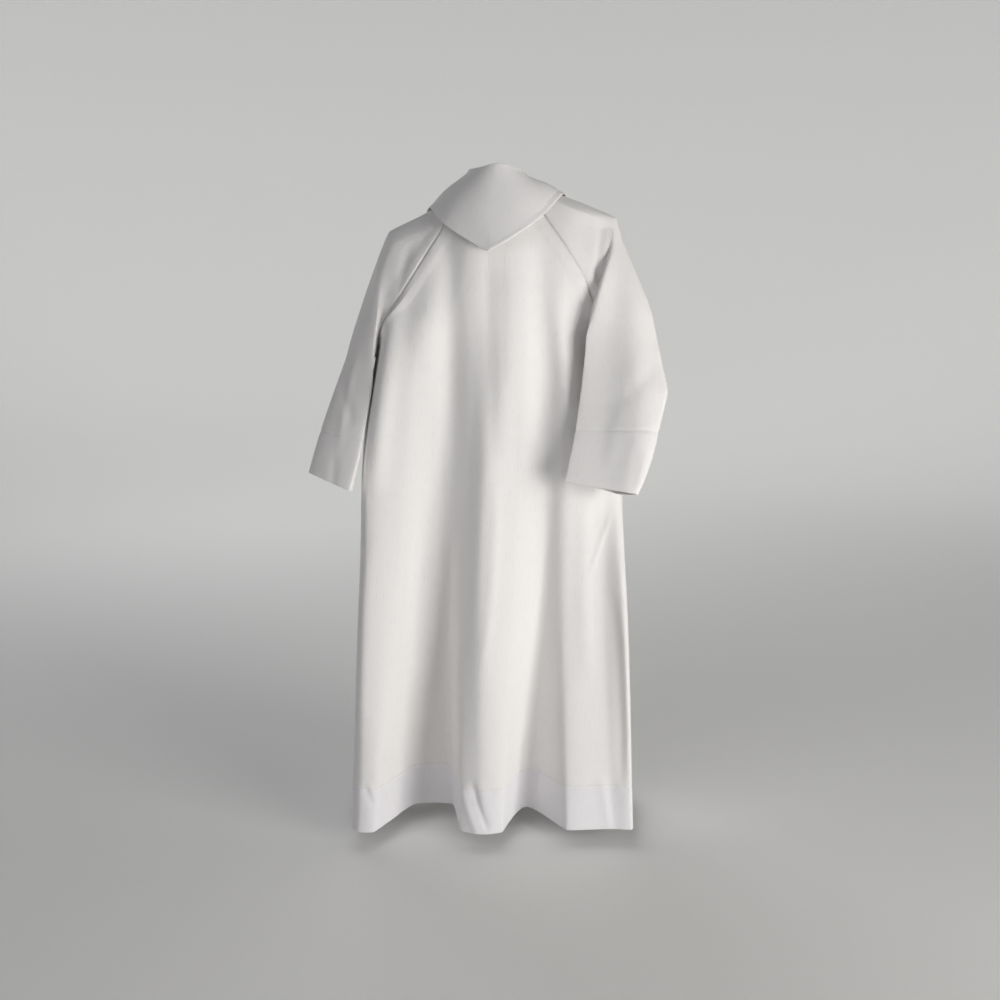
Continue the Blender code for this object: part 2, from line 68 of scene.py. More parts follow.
# Lines down the back, wearer's left to right: x and y at chest, ribs, hip and hem, and how
# sharply the hem turns there (0 round, 1 a corner). The turn softens upwards to the ribs.
BACK_LINES = (
    ("left side", (-0.205, 0.002), (-0.227, 0.004), (-0.240, 0.004), (-0.263, 0.004), 0.0),
    ("left turn", (-0.189, -0.058), (-0.215, -0.082), (-0.230, -0.094), (-0.251, -0.116), 0.5),
    ("left ridge", (-0.172, -0.082), (-0.198, -0.101), (-0.212, -0.118), (-0.237, -0.138), 0.4),
    ("left ridge end", (-0.136, -0.090), (-0.150, -0.098), (-0.168, -0.106), (-0.210, -0.137), 0.7),
    ("left valley", (-0.098, -0.080), (-0.106, -0.080), (-0.114, -0.062), (-0.146, -0.030), 0.5),
    ("left valley end", (-0.070, -0.079), (-0.078, -0.080), (-0.084, -0.058), (-0.080, -0.026), 0.5),
    ("middle edge", (-0.036, -0.088), (-0.046, -0.093), (-0.060, -0.096), (-0.060, -0.132), 0.8),
    ("middle ridge", (0.004, -0.101), (-0.012, -0.112), (-0.026, -0.128), (-0.026, -0.147), 0.0),
    ("middle end", (0.044, -0.096), (0.036, -0.100), (0.026, -0.112), (0.009, -0.138), 0.8),
    ("right valley", (0.082, -0.081), (0.082, -0.087), (0.076, -0.077), (0.052, -0.038), 0.1),
    ("right ridge", (0.120, -0.080), (0.120, -0.095), (0.114, -0.095), (0.119, -0.130), 0.7),
    ("right ridge end", (0.150, -0.040), (0.173, -0.063), (0.178, -0.087), (0.196, -0.126), 0.2),
    ("right turn", (0.172, -0.008), (0.199, -0.030), (0.2155, -0.094), (0.234, -0.126), 0.6),
    ("right side", (0.190, 0.002), (0.209, 0.004), (0.221, 0.004), (0.2435, 0.004), 0.0),
)

# Raglan seams: rise from underarm (0) to neck (1), the left and the right seam, and how far
# the panel's middle stands out past the line that joins the two.
BACK_SEAMS = (
    (0.00, (-0.205, 0.002, -0.245), (0.190, 0.002, -0.240), 0.095),
    (0.18, (-0.1905, -0.045, -0.199), (0.174, -0.040, -0.196), 0.054),
    (0.36, (-0.169, -0.062, -0.166), (0.158, -0.057, -0.158), 0.038),
    (0.56, (-0.137, -0.068, -0.118), (0.140, -0.067, -0.115), 0.027),
    (0.76, (-0.1095, -0.060, -0.0745), (0.107, -0.061, -0.0625), 0.026),
    (0.90, (-0.087, -0.045, -0.038), (0.0774, -0.042, -0.0206), 0.024),
    (1.00, (-0.066, -0.033, 0.004), (0.062, -0.031, 0.008), 0.022),
)

# Creases of the back: where each starts and ends, as x and z, how far it bows sideways in
# between, half its breadth, and how far it stands out, or in where negative.
BACK_CREASES = (
    ("centre fold top", (0.009, -0.066), (0.012, -0.300), 0.000, 0.007, -0.0008),
    ("centre fold ridge", (-0.006, -0.070), (-0.009, -0.300), 0.000, 0.008, 0.0009),
    ("left yoke trough", (-0.078, -0.030), (-0.078, -0.460), 0.000, 0.021, -0.009),
    ("middle yoke trough", (-0.009, -0.070), (-0.008, -0.420), 0.000, 0.015, -0.0044),
    ("right yoke trough", (0.070, -0.040), (0.080, -0.390), 0.000, 0.025, -0.010),
    ("right seam pull", (0.118, -0.150), (0.128, -0.330), 0.006, 0.012, -0.0035),
    ("left seam pull", (-0.150, -0.190), (-0.120, -0.420), -0.008, 0.020, -0.0012),
    ("right hip crease", (0.192, -0.515), (0.158, -0.615), 0.002, 0.0032, 0.0024),
    ("left side ridge", (-0.160, -0.105), (-0.206, -0.480), 0.000, 0.0175, 0.0095),
    ("left waist roll", (-0.118, -0.470), (-0.130, -0.800), 0.010, 0.015, -0.003),
    ("middle waist roll", (-0.002, -0.450), (-0.026, -0.780), -0.006, 0.009, 0.0024),
    ("right waist roll", (0.150, -0.430), (0.155, -0.800), 0.006, 0.014, 0.003),
    ("right skirt roll", (0.195, -0.640), (0.214, -0.980), -0.004, 0.009, -0.004),
    ("left skirt roll", (-0.216, -0.560), (-0.232, -0.900), 0.004, 0.012, 0.0026),
    ("left skirt trough", (-0.146, -0.780), (-0.152, -1.100), 0.000, 0.028, -0.006),
    ("left skirt ridge", (-0.066, -0.720), (-0.064, -1.100), 0.000, 0.015, 0.004),
    ("left hem dent", (-0.226, -0.966), (-0.208, -1.012), 0.002, 0.005, -0.0022),
    ("middle hem fold", (-0.057, -0.972), (-0.032, -1.062), 0.003, 0.006, 0.0034),
    ("middle hem dent", (-0.043, -0.962), (-0.014, -1.052), 0.003, 0.005, -0.0036),
    ("right hem dent", (0.081, -0.958), (0.066, -1.034), 0.003, 0.0048, -0.0034),
    ("right hem fold", (0.178, -0.960), (0.196, -1.066), 0.001, 0.007, 0.002),
)


def columns_of(table):
    """The columns of a table as arrays, without its rows' names."""
    return [np.array(column, dtype=float) for column in zip(*table)
            if not isinstance(column[0], str)]


def smooth_through(knots, values, at, sharp=None, joined=None):
    """A curve through values[k] at knots[k], read at the parameters `at`.

    Each stretch is a cubic whose end slopes are the slope between the two neighbours,
    scaled by 1 - sharp. Where `joined` is 1 the last value is the first one again, and
    the slope runs round through it. The knots run along the first axis of values, and of
    sharp.
    """
    knots = np.asarray(knots, dtype=float)
    values = np.asarray(values, dtype=float)
    tail = (1,) * (values.ndim - 1)
    slopes = np.empty_like(values)
    gaps = np.diff(knots).reshape((-1,) + tail)
    steps = np.diff(values, axis=0) / gaps
    before, after = gaps[:-1], gaps[1:]
    slopes[1:-1] = (steps[:-1] * after + steps[1:] * before) / (before + after)
    slopes[0] = steps[0]
    slopes[-1] = steps[-1]
    if joined is not None:
        around = (steps[-1] * gaps[0] + steps[0] * gaps[-1]) / (gaps[0] + gaps[-1])
        slopes[0] += joined * (around - slopes[0])
        slopes[-1] += joined * (around - slopes[-1])
    if sharp is not None:
        slopes = slopes * (1.0 - np.reshape(sharp, (len(knots), -1) + tail[1:]))
    place = np.clip(np.searchsorted(knots, at, side="right") - 1, 0, len(knots) - 2)
    width = (knots[place + 1] - knots[place]).reshape((-1,) + tail)
    share = (at - knots[place]).reshape((-1,) + tail) / width
    start, end = values[place], values[place + 1]
    leave, arrive = slopes[place] * width, slopes[place + 1] * width
    return (start * (1 + 2 * share) * (1 - share) ** 2 + leave * share * (1 - share) ** 2
            + end * share ** 2 * (3 - 2 * share) - arrive * share ** 2 * (1 - share))


def carry_across(lines, at, sharp, joined=None):
    """Rows of a surface: a smooth curve across each row of lines (rows, lines, 3)."""
    across = np.swapaxes(lines, 0, 1)
    if joined is not None:
        joined = joined[:, None]
    curve = smooth_through(np.arange(lines.shape[1]), across, at, sharp, joined)
    return np.swapaxes(curve, 0, 1)


def seam_ends(count, per_span):
    """Column parameters from 0 to count, closer together next to both seams."""
    even = np.linspace(0, count, count * per_span + 1)
    inner = even[(even > SEAM_STEPS[-1]) & (even < count - SEAM_STEPS[-1])]
    return np.concatenate([SEAM_STEPS, inner, count - SEAM_STEPS[::-1]])


def smooth_step(value, low, high):
    """0 below low, 1 above high, and a soft S between them."""
    share = np.clip((value - low) / (high - low), 0.0, 1.0)
    return share * share * (3 - 2 * share)


RISES = np.linspace(0.0, 1.0, YOKE_STEPS + 1)


def seam_lines(seams):
    """Left and right seam and the panel's depth at the yoke's rows, underarm first."""
    rise, *lines = columns_of(seams)
    return [smooth_through(rise, line, RISES) for line in lines]


def body_panel(lines, seams, per_span, neck_drop, squareness, seam_fade):
    """Middle surface of a body panel, hem to neck (rows) and left to right (columns).

    Below the underarm each named line runs through its places at chest, ribs, hip and
    hem, and the slant of the underarm dies out downwards as the fourth power. Above it
    the lines keep their share of the way between the two raglan seams, the middle stands
    out by the seams' depth, and the folds fade out upwards, sooner beside the seams. The
    neck drop lowers the rows towards the middle of the neck into a V. Last, the bend at
    the underarm is eased over the rows beside it, away from the seams.
    """
    *levels, sharp = columns_of(lines)
    left, right, depth = seam_lines(seams)
    chest = levels[0]
    share = (chest[:, 0] - chest[0, 0]) / (chest[-1, 0] - chest[0, 0])
    chest_z = left[0, 2] + (right[0, 2] - left[0, 2]) * share
    middle_z = (left[0, 2] + right[0, 2]) / 2
    stitched = HEM_Z + HEM_DEPTH
    above = np.arange(stitched + STITCH_ROWS[-1] + ROW_STEP, middle_z - ROW_STEP / 2, ROW_STEP)
    below = np.linspace(HEM_Z, stitched + STITCH_ROWS[0] - ROW_STEP,
                        round(HEM_DEPTH / ROW_STEP) - 1)
    heights = np.concatenate([below, stitched + STITCH_ROWS, above, [middle_z]])
    plan = smooth_through([-middle_z, -RIBS_Z, -HIP_Z, -HEM_Z], levels, -heights)
    sink = (heights - HEM_Z) / (middle_z - HEM_Z)
    skirt_z = heights[:, None] + (chest_z - middle_z)[None, :] * sink[:, None] ** 4
    skirt = np.concatenate([plan, skirt_z[:, :, None]], axis=2)

    rise = RISES[1:, None]
    outwards = np.sign(chest[:, 1].sum())
    arch = 1.0 - np.abs(2 * share - 1) ** squareness
    between = left[:, None, :] + (right - left)[:, None, :] * share[None, :, None]
    base = between[:, :, 1] + outwards * depth[:, None] * arch[None, :]
    fold = chest[:, 1] - base[0]
    yoke = between[1:].copy()
    fade = FOLD_FADE + seam_fade * (2 * share[None, :] - 1) ** 2
    yoke[:, :, 1] = base[1:] + fold[None, :] * (1 - rise) ** fade
    to_middle = np.interp(share, [0.0, share[len(share) // 2], 1.0], [0.0, 1.0, 0.0])
    yoke[:, :, 2] -= neck_drop * to_middle[None, :] * rise ** NECK_CURVE

    rows = np.concatenate([skirt, yoke])
    turning = np.interp(-rows[:, 0, 2], [-RIBS_Z, -HEM_Z], [0.0, 1.0]) ** 2
    surface = carry_across(rows, seam_ends(len(lines) - 1, per_span), sharp[:, None] * turning)
    return ease_bend(surface, len(heights) - 1)


def ease_bend(surface, row):
    """The surface with the bend at one row eased: the rows near it are averaged with
    their neighbours again and again, less towards the seams and away from the row."""
    rows, columns = surface.shape[:2]
    near = np.clip(1.0 - np.abs(np.arange(rows) - row) / BEND_ROWS, 0.0, 1.0)
    from_seam = np.minimum(np.arange(columns), columns - 1 - np.arange(columns))
    inside = smooth_step(from_seam, 0, BEND_COLUMNS)
    weight = near[:, None, None] * inside[None, :, None]
    for _ in range(BEND_PASSES):
        mean = surface.copy()
        mean[1:-1] = (surface[:-2] + surface[2:]) / 2
        surface = surface + weight * (mean - surface) / 2
    return surface


def grid_quads(numbers):
    """Quads of a grid of point numbers, in the order down a column and along a row."""
    corners = [numbers[:-1, :-1], numbers[:-1, 1:], numbers[1:, 1:], numbers[1:, :-1]]
    return np.stack(corners, axis=-1).reshape(-1, 4)


def tube_numbers(rows, columns, tube_from):
    """Point numbers of a grid whose last column is the first again from one row on."""
    numbers = np.arange(rows * columns).reshape(rows, columns)
    if tube_from is not None:
        numbers[tube_from:, -1] = numbers[tube_from:, 0]
    return numbers


def unit(vectors):
    """Each vector divided by its own length."""
    return vectors / np.maximum(np.linalg.norm(vectors, axis=-1, keepdims=True), 1e-12)


def surface_normals(surface, tube_from=None):
    """Unit normals at the grid's points: the sum of the crosses of the quads' diagonals."""
    numbers = tube_numbers(*surface.shape[:2], tube_from)
    points = surface.reshape(-1, 3)
    quads = grid_quads(numbers)
    corners = points[quads]
    across = np.cross(corners[:, 2] - corners[:, 0], corners[:, 3] - corners[:, 1])
    total = np.zeros_like(points)
    np.add.at(total, quads.reshape(-1), np.repeat(across, 4, axis=0))
    return unit(total[numbers])


def lengths_across(rows):
    """Length along each row of points, or along a single one, from its first point."""
    steps = np.linalg.norm(np.diff(rows, axis=-2), axis=-1)
    return np.concatenate([0 * steps[..., :1], np.cumsum(steps, axis=-1)], axis=-1)


def lengths_along(surface):
    """Length down the middle column from the first row."""
    return lengths_across(surface[:, surface.shape[1] // 2])


def crease_relief(surface, creases):
    """How far the creases of a table move each point of a surface along its normal.

    A crease is a bell across its line, which bows sideways as a parabola, and fades in
    and out along it as 1 - (2t - 1)^4.
    """
    start, end, bow, width, height = columns_of(creases)
    run = end - start
    length = np.linalg.norm(run, axis=1)
    away = surface[:, :, None, [0, 2]] - start
    along = np.clip((away * run).sum(axis=-1) / length ** 2, 0.0, 1.0)
    aside = (away[..., 0] * run[:, 1] - away[..., 1] * run[:, 0]) / length
    bell = np.exp(-((aside - bow * 4 * along * (1 - along)) / width) ** 2)
    return (height * bell * (1 - (2 * along - 1) ** 4)).sum(axis=-1)


def edge_lengths(surface):
    """Length along each row from the nearer of its two ends."""
    across = lengths_across(surface)
    return np.minimum(across, across[:, -1:] - across)


SEAM_PAD = 0.0024           # how far the turnings below a seam lift the cloth beside it
SEAM_RISE = 0.0028          # length of that rise
PAD_FADE = 0.020            # length over which it falls off again past the turnings
PANEL_TURNINGS = 0.011
SEAM_DITCH = 0.0018         # depth of the ditch along a seam's stitches
DITCH_WIDTH = 0.0016        # half width of that ditch
SEAM_PUCKER = 0.00025       # height of the waves along a seam
PUCKER_REACH = 0.012        # how far they reach into the panel
SEAM_WAVE = 0.007          # length of a radian of those waves
SEAM_SWAY = 0.031           # and of the sway in their phase


def seam_relief(surface, turnings, ditch, seed):
    """Cloth beside a seam: a bell-shaped ditch along the stitches, a rise from there to
    the turnings pressed under it, and small uneven waves, a sine whose phase sways along
    the seam, which fade out into the panel."""
    across = lengths_across(surface)
    edge = edge_lengths(surface)
    padding = smooth_step(edge, 0.0, SEAM_RISE) * (
        1 - smooth_step(edge, turnings, turnings + PAD_FADE))
    down = lengths_along(surface)[:, None]
    side = np.where(across < across[:, -1:] / 2, seed, seed + 2.6)
    waves = np.sin(down / SEAM_WAVE + side + 2.2 * np.sin(down / SEAM_SWAY + 2 * side))
    ripple = waves * np.exp(-edge / PUCKER_REACH) * smooth_step(edge, 0.0, 0.003)
    return SEAM_PAD * padding - ditch * np.exp(-(edge / DITCH_WIDTH) ** 2) + SEAM_PUCKER * ripple


HEM_PUCKER = 0.0013         # height of the waves that the hem's stitching leaves
GROOVE_DEPTH = 0.0011       # groove along a row of stitches
GROOVE_WIDTH = 0.0019       # half width of that groove
STITCH_WAVE = 0.0058        # length of a radian of the waves
STITCH_SWAY = 0.027         # of the sway in their phase
STITCH_SWELL = 0.061        # and of the change in their height
STITCH_REACH = 0.010        # how far they reach up the cloth


def stitch_relief(surface, stitched, pucker, seed):
    """Cloth at a row of hem stitching: a narrow bell-shaped groove, and waves across it
    that the thread's pull leaves, a sine whose phase and height sway and which dies out
    away from the stitches. `stitched` is each row's distance from them."""
    across = lengths_across(surface)
    groove = -GROOVE_DEPTH * np.exp(-(stitched / GROOVE_WIDTH) ** 2)[:, None]
    waves = np.sin(across / STITCH_WAVE + seed + 2.5 * np.sin(across / STITCH_SWAY + seed))
    swell = 0.6 + 0.4 * np.sin(across / STITCH_SWELL + 3 * seed)
    fade = np.exp(-np.abs(stitched) / STITCH_REACH)[:, None] * (1 + groove / (2 * GROOVE_DEPTH))
    return groove + pucker * waves * swell * fade


def turned_up(surface, turned, tube_from=None):
    """The surface with its last `turned` rows laid again on the inside, as a hem.

    The edge is a half circle of the hem's gap, and the inner layer follows the outer one
    a gap further in, closing in on it at the stitching.
    """
    normals = surface_normals(surface, tube_from)
    edge, inward = surface[-1], -normals[-1]
    down = unit(surface[-1] - surface[-2])
    angles = np.radians([36, 72, 108, 144])[:, None, None]
    fold = edge + HEM_GAP / 2 * ((1 - np.cos(angles)) * inward + np.sin(angles) * down)
    gap = HEM_GAP * np.linspace(1.0, HEM_CLOSED, turned)[:, None, None]
    inner = surface[::-1][:turned] - gap * normals[::-1][:turned]
    return np.concatenate([surface, fold, inner])


def srgb(code):
    """Linear colour of an sRGB hex code."""
    channels = np.array([int(code[place:place + 2], 16) for place in (1, 3, 5)]) / 255
    linear = np.where(channels <= 0.04045, channels / 12.92, ((channels + 0.055) / 1.055) ** 2.4)
    return (*linear.tolist(), 1.0)


def add_node(tree, kind, settings=None, inputs=None):
    """A new node: settings are its own values, inputs are numbers or other nodes' sockets."""
    node = tree.nodes.new(kind)
    for name, value in (settings or {}).items():
        setattr(node, name, value)
    for name, value in (inputs or {}).items():
        if isinstance(value, bpy.types.NodeSocket):
            tree.links.new(value, node.inputs[name])
        else:
            node.inputs[name].default_value = value
    return node


def new_material(name, sockets):
    """A material with some of its shader's own sockets set, its nodes and its shader."""
    material = bpy.data.materials.new(name)
    material.use_nodes = True
    shader = material.node_tree.nodes["Principled BSDF"]
    for socket, value in sockets.items():
        shader.inputs[socket].default_value = value
    return material, material.node_tree, shader


# Poplin of polyester and cotton, bleached white, singed and soft-pressed: matt with a
# slight bloom at grazing angles. The real threads lie 0.3 mm apart, too fine to show, so
# the crossing threads are drawn 1.6 mm apart, and the thicker, slubbed ones show further
# off, a few centimetres long. Where a hem's cloth is doubled it gets a slightly cooler
# white, a painted tint that stands in for the cooler light low on the robe.
WHITE_SINGLE = "#F2F0EF"
# Painted cool light: the doubled cloth's slightly cooler white stands in for the cooler light low on
# the robe.
DOUBLED_PAINTED_COOL_WHITE = "#F1EFF2"
WHITE_SLUB = "#D6D3D5"
THREAD_SPACING = 0.0016
SLUB_THICK = 0.0022
SLUB_LONG = 0.024
SLUB_TONE = 0.26            # how far a slub goes towards its own tone
WEFT_LESS = 0.06            # how much fewer slubs the crossing threads have
WEAVE_HEIGHT = 0.16         # height of the weave against that of a slub


def poplin_material():
    """White poplin: crossing threads as a bump, slubs as a faint change of tone."""
    material, tree, shader = new_material("white_poly_cotton_poplin", {
        "IOR": 1.5, "Specular IOR Level": 0.3, "Sheen Weight": 0.12, "Sheen Roughness": 0.5})
    lengths = add_node(tree, "ShaderNodeUVMap", {"uv_map": "cloth_lengths"}).outputs["UV"]

    slubs = []
    for stretch in ((1 / SLUB_THICK, 1 / SLUB_LONG, 1.0), (1 / SLUB_LONG, 1 / SLUB_THICK, 1.0)):
        run = add_node(tree, "ShaderNodeMapping", inputs={"Vector": lengths, "Scale": stretch})
        slubs.append(add_node(tree, "ShaderNodeTexNoise", inputs={
            "Vector": run.outputs["Vector"], "Scale": 1.0, "Detail": 3.0, "Roughness": 0.6}))
    weft = add_node(tree, "ShaderNodeMath", {"operation": "SUBTRACT"}, {
        0: slubs[1].outputs["Fac"], 1: WEFT_LESS}).outputs[0]
    slub = add_node(tree, "ShaderNodeMath", {"operation": "MAXIMUM"}, {
        0: slubs[0].outputs["Fac"], 1: weft}).outputs[0]
    slub = add_node(tree, "ShaderNodeMapRange", {"interpolation_type": "SMOOTHSTEP"}, {
        "Value": slub, "From Min": 0.50, "From Max": 0.78}).outputs["Result"]

    parts = add_node(tree, "ShaderNodeSeparateXYZ", inputs={"Vector": lengths})
    waves = []
    for axis in ("X", "Y"):
        angle = add_node(tree, "ShaderNodeMath", {"operation": "MULTIPLY"}, {
            0: parts.outputs[axis], 1: math.pi / THREAD_SPACING}).outputs[0]
        waves.append(add_node(tree, "ShaderNodeMath", {"operation": "SINE"}, {
            0: angle}).outputs[0])
    weave = add_node(tree, "ShaderNodeMath", {"operation": "MULTIPLY"}, {
        0: waves[0], 1: waves[1]}).outputs[0]
    height = add_node(tree, "ShaderNodeMath", {"operation": "MULTIPLY_ADD"}, {
        0: weave, 1: WEAVE_HEIGHT, 2: slub}).outputs[0]
    bump = add_node(tree, "ShaderNodeBump", inputs={
        "Height": height, "Strength": 0.55, "Distance": 0.00035})

    # The doubled cloth's white is mixed towards a cooler one: a painted tint of the cooler light low
    # on the robe, not a colour of the cloth.
    doubled = add_node(tree, "ShaderNodeAttribute", {"attribute_name": "doubled"}).outputs["Fac"]
    white = add_node(tree, "ShaderNodeMix", {"data_type": "RGBA"}, {
        0: doubled, 6: srgb(WHITE_SINGLE), 7: srgb(DOUBLED_PAINTED_COOL_WHITE)}).outputs[2]
    amount = add_node(tree, "ShaderNodeMath", {"operation": "MULTIPLY"}, {
        0: slub, 1: SLUB_TONE}).outputs[0]
    colour = add_node(tree, "ShaderNodeMix", {"data_type": "RGBA"}, {
        0: amount, 6: white, 7: srgb(WHITE_SLUB)}).outputs[2]
    rough = add_node(tree, "ShaderNodeMapRange", inputs={
        "Value": slub, "To Min": 0.86, "To Max": 0.78}).outputs["Result"]

    tree.links.new(colour, shader.inputs["Base Color"])
    tree.links.new(rough, shader.inputs["Roughness"])
    tree.links.new(bump.outputs["Normal"], shader.inputs["Normal"])
    return material


poplin = poplin_material()


def cloth_piece(name, mesh, material):
    """An object of a mesh in one material, which rides on the robe's only body."""
    mesh.shade_smooth()
    mesh.materials.append(material)
    piece = bpy.data.objects.new(name, mesh)
    scene.collection.objects.link(piece)
    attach(piece, "root")
    return piece


def cloth_shell(name, surface, wall, doubled, tube_from=None):
    """Closed thin shell of poplin on a grid of middle points, with a round edge.

    Each point gives one point half a wall out along its normal and one half a wall in.
    Round the border a third point lies between them, half a wall further out sideways.
    The UV map holds the cloth's own lengths in metres, across and along, and the
    attribute says how far a row belongs to the doubled cloth of a hem, scaled by how much
    of the painted cooler white, a painted tint of light, it gets.
    """
    rows, columns = surface.shape[:2]
    numbers = tube_numbers(rows, columns, tube_from)
    quads = grid_quads(numbers)
    middle = surface.reshape(-1, 3)
    normals = surface_normals(surface, tube_from).reshape(-1, 3)
    total = len(middle)

    starts = quads.reshape(-1)
    ends = np.roll(quads, -1, axis=1).reshape(-1)
    free = ~np.isin(starts * total + ends, ends * total + starts) & (starts != ends)
    first, second = starts[free], ends[free]
    outwards = np.cross(middle[second] - middle[first], normals[first])
    sideways = np.zeros_like(middle)
    np.add.at(sideways, first, outwards)
    np.add.at(sideways, second, outwards)
    sideways = unit(sideways)

    half = wall / 2
    points = np.concatenate([middle + normals * half, middle - normals * half,
                             middle + sideways * half])
    rim, inner = 2 * total, total
    rims = np.stack([second, first, first + rim, second + rim], axis=1)
    inner_rims = np.stack([second + rim, first + rim, first + inner, second + inner], axis=1)
    faces = np.concatenate([quads, quads[:, ::-1] + inner, rims, inner_rims])

    across = lengths_across(surface)
    across = across - across[:, columns // 2:columns // 2 + 1]
    along = np.broadcast_to(lengths_along(surface)[:, None], across.shape)
    flat = np.stack([across, along], axis=-1).reshape(-1, 2)
    cells = grid_quads(np.arange(total).reshape(rows, columns))
    rim_flat = flat[np.stack([second, first, first, second], axis=1)]
    corner_flat = np.concatenate([flat[cells], flat[cells[:, ::-1]], rim_flat, rim_flat])

    used, kept = np.unique(faces, return_inverse=True)
    mesh = bpy.data.meshes.new(name)
    mesh.from_pydata(points[used].tolist(), [], kept.reshape(faces.shape).tolist())
    mesh.uv_layers.new(name="cloth_lengths").data.foreach_set("uv", corner_flat.reshape(-1))
    layers = np.tile(np.repeat(doubled, columns), 3)[used]
    mesh.attributes.new("doubled", "FLOAT", "POINT").data.foreach_set("value", layers)
    return cloth_piece(name, mesh, poplin)


# Thread of the hems, cuffs and collar: spun polyester, white, in stitches of about 3 mm.
THREAD = 0.00045
THREAD_TWIST = 0.0004       # grain of the twist of its plies
STITCH_LENGTH = 0.0027
STITCH_SPACING = 0.0034
WHITE_THREAD = "#F4F3F6"
WHITE_THREAD_SHADE = "#DCDBE2"


def thread_material():
    """Spun polyester thread: slightly silky, with the twist of its two plies."""
    material, tree, shader = new_material("white_polyester_thread", {
        "Roughness": 0.55, "IOR": 1.55})
    place = add_node(tree, "ShaderNodeTexCoord").outputs["Object"]
    twist = add_node(tree, "ShaderNodeTexNoise", inputs={
        "Vector": place, "Scale": 1 / THREAD_TWIST, "Detail": 2.0})
    colour = add_node(tree, "ShaderNodeMix", {"data_type": "RGBA"}, {
        0: twist.outputs["Fac"], 6: srgb(WHITE_THREAD), 7: srgb(WHITE_THREAD_SHADE)}).outputs[2]
    tree.links.new(colour, shader.inputs["Base Color"])
    return material


thread = thread_material()


def read_along(steps, values, at):
    """Values, one row for each of `steps`, read in between at the lengths `at`."""
    return np.stack([np.interp(at, steps, part) for part in values.T], axis=1)


def stitching(name, line, normals):
    """Row of lock stitches along a line of points on the cloth.

    A stitch is a round thread, five rings of six points, straight along the line. Its
    height over the cloth falls off from the middle as the fourth power, so that both ends
    dip into the cloth.
    """
    steps = lengths_across(line)
    centres = (np.arange(int(steps[-1] / STITCH_SPACING)) + 0.5) * STITCH_SPACING
    place = read_along(steps, line, centres)
    up = read_along(steps, normals, centres)
    run = unit(read_along(steps, np.gradient(line, steps, axis=0), centres))
    up = unit(up - run * (up * run).sum(axis=1, keepdims=True))
    side = np.cross(run, up)

    share = np.linspace(-1.0, 1.0, 5)
    radius = THREAD / 2 * (1.0 - 0.45 * share ** 4)
    height = THREAD * (0.30 - 0.75 * share ** 4)
    turn = np.radians(np.arange(6) * 60.0)
    reach = share * STITCH_LENGTH / 2
    lift = height[:, None] + radius[:, None] * np.sin(turn)
    spread = radius[:, None] * np.cos(turn)
    points = (place[:, None, None] + run[:, None, None] * reach[:, None, None]
              + up[:, None, None] * lift[..., None] + side[:, None, None] * spread[..., None])
    rings = np.arange(5 * 6).reshape(5, 6)
    ahead = np.roll(rings, -1, axis=1)
    quads = np.stack([rings[:-1], ahead[:-1], ahead[1:], rings[1:]], axis=-1).reshape(-1, 4)
    firsts = np.arange(len(centres))[:, None, None] * rings.size
    ends = np.stack([rings[0][::-1], rings[-1]])
    sides = (quads + firsts).reshape(-1, 4).tolist()
    caps = (ends + firsts).reshape(-1, 6).tolist()
    mesh = bpy.data.meshes.new(name)
    mesh.from_pydata(points.reshape(-1, 3).tolist(), [], sides + caps)
    return cloth_piece(name, mesh, thread)


def hemmed_poplin(name, stitching_name, outer, stitched, tint=1.0, tube_from=None):
    """A piece of poplin with its last rows turned up inside, and the stitches that hold
    them. `stitched` is the distance of each row from the stitching, nothing there and
    negative past it; the tint scales the painted cooler white of the doubled cloth, a
    painted tint of cooler light."""
    turned = int((stitched <= 0.0001).sum())
    folded = turned_up(outer, turned, tube_from)
    doubled = np.concatenate([smooth_step(-stitched, -0.001, 0.001),
                              np.ones(len(folded) - len(outer))])
    piece = cloth_shell(name, folded, POPLIN, tint * doubled, tube_from)
    row = int(np.argmin(np.abs(stitched)))
    up = surface_normals(outer, tube_from)[row]
    return piece, stitching(stitching_name, outer[row] + up * POPLIN / 2, up)


def finish_panel(side, surface, creases, seed):
    """A body panel in poplin: relief of folds, seams and hem, hem turned up and stitched."""
    outer = surface[::-1]
    stitched = outer[:, outer.shape[1] // 2, 2] - (HEM_Z + HEM_DEPTH)
    edge = edge_lengths(outer)
    stitches = stitch_relief(outer, stitched, HEM_PUCKER, seed) * smooth_step(edge, 0.0, 0.004)
    relief = crease_relief(outer, creases) * smooth_step(edge, 0.0, 0.015)
    relief = relief + seam_relief(outer, PANEL_TURNINGS, SEAM_DITCH, seed) + stitches
    outer = outer + surface_normals(outer) * relief[..., None]
    piece, seam = hemmed_poplin(side + "_cloth", side + "_hem_stitching", outer, stitched)
    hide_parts(side + "_panel")


back_surface = body_panel(BACK_LINES, BACK_SEAMS, BACK_STEPS, 0.0, BACK_ARCH, BACK_SEAM_FADE)
finish_panel("back", back_surface[:, ::-1], BACK_CREASES, 0.7)

# ------------------------------------------------------------------
# Front panel. The same poplin, cut like the back but with a deep V at the neck, so that a
# child's head passes. Its folds are as large as the back's and lie between them, and it
# shares with the back the lines of both side seams.

